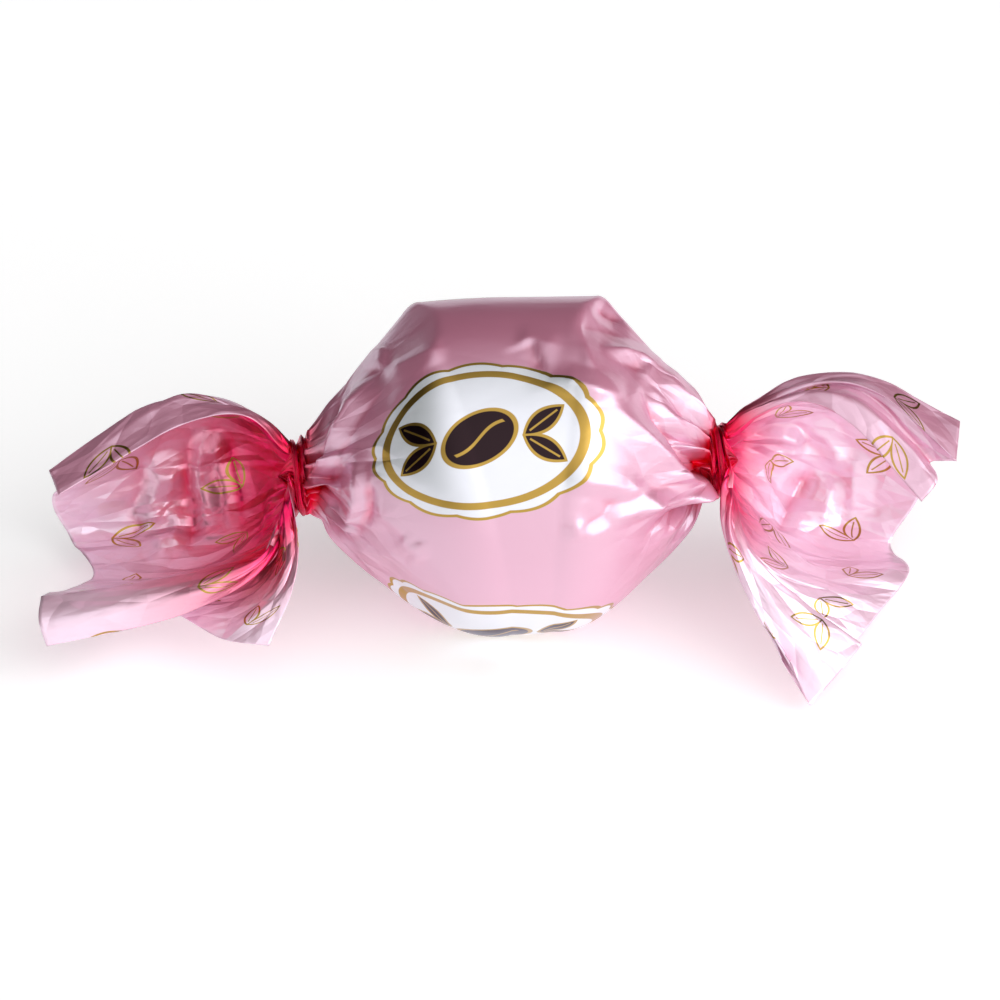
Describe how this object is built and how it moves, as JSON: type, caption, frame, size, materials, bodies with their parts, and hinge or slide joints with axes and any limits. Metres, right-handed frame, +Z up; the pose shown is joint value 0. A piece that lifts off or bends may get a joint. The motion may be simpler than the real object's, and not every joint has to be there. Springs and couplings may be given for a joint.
{
  "type": "twist-wrapped praline",
  "caption": "Round praline in glossy film, twisted shut at each side into a narrow neck that opens into a crumpled flared tail.",
  "frame": {"origin": "middle of the small flat spot under the ball that the praline rests on", "axes": "+X along the wrapper from the left tail to the right tail as seen from the label, +Z up, -Y towards the viewer"},
  "size_m": [0.0814, 0.0326, 0.0297],
  "materials": {
    "wrapper_film": "pink pearl film"
  },
  "bodies": {
    "root": {"wrapped_praline": "wrapper_film"}
  },
  "joints": []
}
